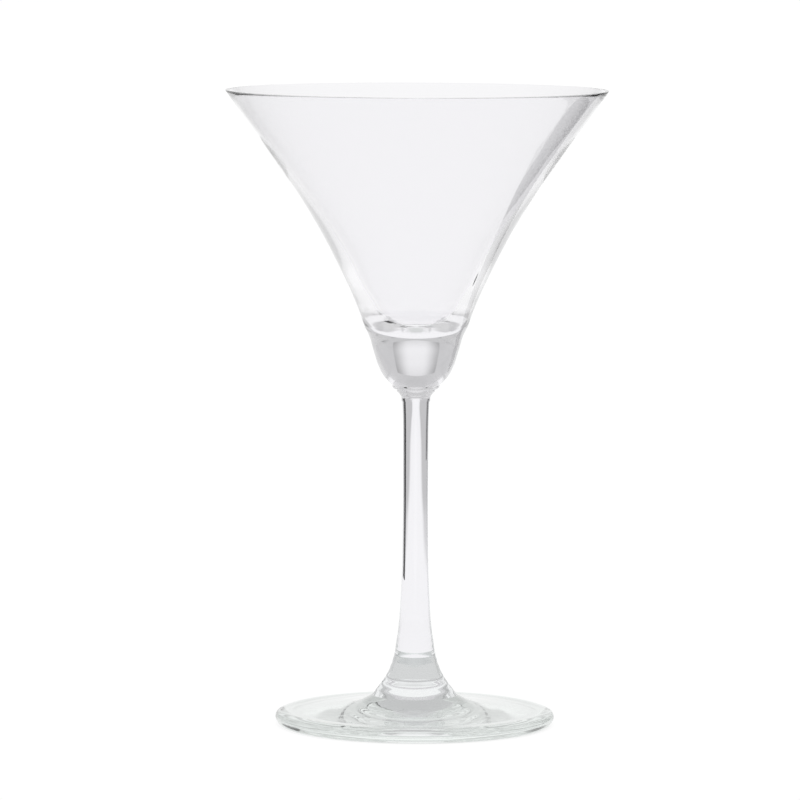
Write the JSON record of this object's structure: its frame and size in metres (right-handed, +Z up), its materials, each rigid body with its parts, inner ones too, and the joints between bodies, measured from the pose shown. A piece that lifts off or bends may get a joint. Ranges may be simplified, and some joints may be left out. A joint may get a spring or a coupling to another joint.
{
  "type": "martini glass",
  "caption": "Stemmed cocktail glass of clear glass: a wide thin cone on a solid knop, a fine collar, a slim drawn stem that flares into a flat round foot.",
  "frame": {"origin": "centre of the foot's underside, in the plane that the glass stands on", "axes": "+Z up the axis of the glass, from the foot to the rim; the glass is round, so X and Y are free"},
  "size_m": [0.1082, 0.1082, 0.1804],
  "materials": {
    "bowl_glass": "clear blown glass, fire-polished rim",
    "stem_glass": "clear drawn glass with faint tooling rings",
    "foot_glass": "clear pressed glass with a slight green edge"
  },
  "bodies": {
    "root": {"bowl": "bowl_glass", "knop": "stem_glass", "collar": "stem_glass", "stem": "stem_glass", "foot": "foot_glass"}
  },
  "joints": []
}
